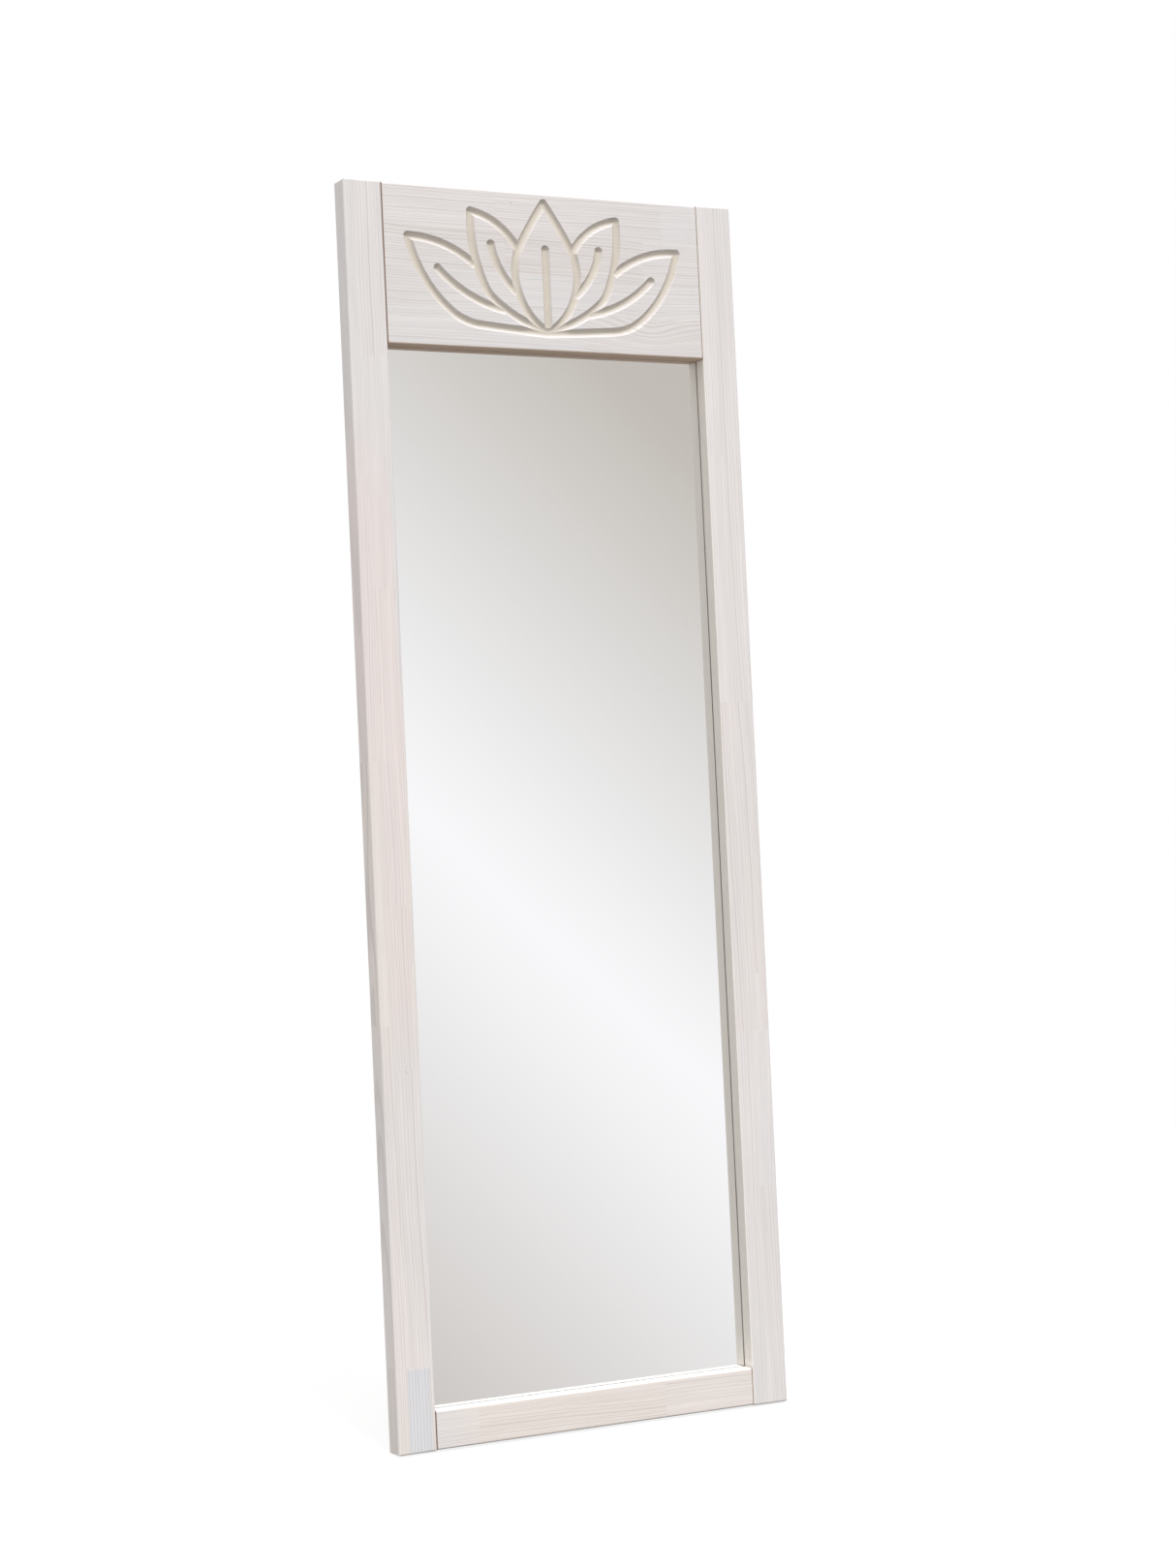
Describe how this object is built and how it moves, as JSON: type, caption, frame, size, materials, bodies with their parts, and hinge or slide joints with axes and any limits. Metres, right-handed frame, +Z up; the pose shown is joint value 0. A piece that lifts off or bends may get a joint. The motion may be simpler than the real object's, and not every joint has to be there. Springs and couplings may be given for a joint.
{
  "type": "cheval floor mirror",
  "caption": "Full-length floor mirror in a solid pine frame with a carved lotus top rail, leaning back on a folding rear strut with sliding stays.",
  "frame": {"origin": "on the floor, in the middle of the footprint of the opened mirror", "axes": "+Z up, +Y towards the back where the strut stands, +X to the right of a viewer in front"},
  "size_m": [0.6, 0.376, 1.6941],
  "materials": {
    "whitewashed_pine": "whitewashed edge-glued pine, matt oil over thin white stain, fine open grain",
    "beech": "fluted beech dowels, raw",
    "mirror_glass": "clear float glass silvered on the back",
    "fibreboard": "brown hardboard, smooth side out",
    "zinc_steel": "bright zinc plated mild steel",
    "rubber": "black moulded rubber, matt"
  },
  "bodies": {
    "frame": {"stile_left": "whitewashed_pine", "stile_right": "whitewashed_pine", "top_rail": "whitewashed_pine", "bottom_rail": "whitewashed_pine", "rail_dowels": "beech", "mirror_pane": "mirror_glass", "back_panel": "fibreboard", "panel_clips": "zinc_steel", "clip_screws": "zinc_steel", "hinge_batten": "whitewashed_pine", "stay_batten": "whitewashed_pine", "batten_screws": "zinc_steel", "frame_leaf_left": "zinc_steel", "frame_leaf_right": "zinc_steel", "frame_leaf_screws": "zinc_steel", "hinge_pin_left": "zinc_steel", "hinge_pin_right": "zinc_steel", "stay_bracket_left": "zinc_steel", "stay_bracket_right": "zinc_steel", "bracket_screws": "zinc_steel", "stay_rivet_left": "zinc_steel", "stay_rivet_right": "zinc_steel"},
    "strut": {"leg_left": "whitewashed_pine", "leg_right": "whitewashed_pine", "top_crossbar": "whitewashed_pine", "middle_crossbar": "whitewashed_pine", "lower_crossbar": "whitewashed_pine", "crossbar_dowels": "beech", "strut_leaf_left": "zinc_steel", "strut_leaf_right": "zinc_steel", "strut_leaf_screws": "zinc_steel", "track_left": "zinc_steel", "track_right": "zinc_steel", "track_screws": "zinc_steel", "foot_pad_left": "rubber", "foot_pad_right": "rubber"},
    "stay_left": {"stay_arm_left": "zinc_steel", "stay_stud_left": "zinc_steel"},
    "stay_right": {"stay_arm_right": "zinc_steel", "stay_stud_right": "zinc_steel"}
  },
  "joints": [
    {"name": "strut_fold", "type": "hinge", "parent": "frame", "child": "strut", "pos_m": [0, -0.02534, 1.09206], "axis": [1, 0, 0], "range_deg": [-16, 0]},
    {"name": "stay_left_swing", "type": "hinge", "parent": "frame", "child": "stay_left", "pos_m": [0, -0.04793, 0.79291], "axis": [1, 0, 0], "range_deg": [-32, 0]},
    {"name": "stay_right_swing", "type": "hinge", "parent": "frame", "child": "stay_right", "pos_m": [0, -0.04793, 0.79291], "axis": [1, 0, 0], "range_deg": [-32, 0]}
  ],
  "couplings": [
    {"joint": "stay_left_swing", "follows": "strut_fold", "ratio": 2},
    {"joint": "stay_right_swing", "follows": "strut_fold", "ratio": 2}
  ]
}
